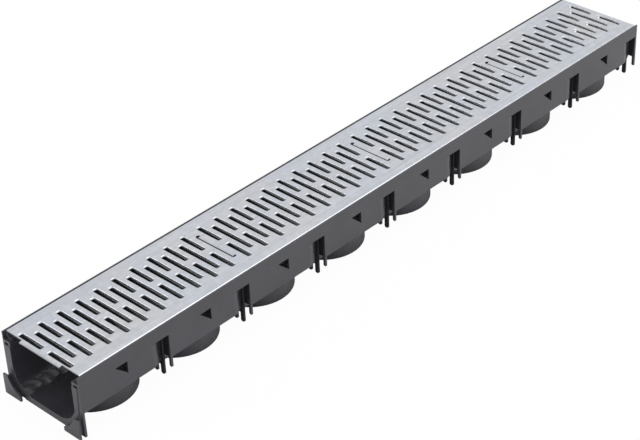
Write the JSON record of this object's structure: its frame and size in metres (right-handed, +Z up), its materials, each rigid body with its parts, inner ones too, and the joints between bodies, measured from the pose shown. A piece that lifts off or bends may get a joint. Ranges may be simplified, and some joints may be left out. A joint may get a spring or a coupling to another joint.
{
  "type": "channel drain",
  "caption": "Surface drain channel: an open plastic trough with ribbed sides and round outlet stubs below, and a slotted steel grating laid in its rim.",
  "frame": {"origin": "middle of the footprint, at the level of the ground the channel stands on", "axes": "+X along the channel, away from the end with the flange and coupling plates; +Y across it; +Z up"},
  "size_m": [1.007, 0.125, 0.08],
  "materials": {
    "channel_plastic": "moulded, satin",
    "galvanised_steel": "galvanised, faint spangle"
  },
  "bodies": {
    "root": {"channel_body": "channel_plastic", "grating": "galvanised_steel"}
  },
  "joints": []
}
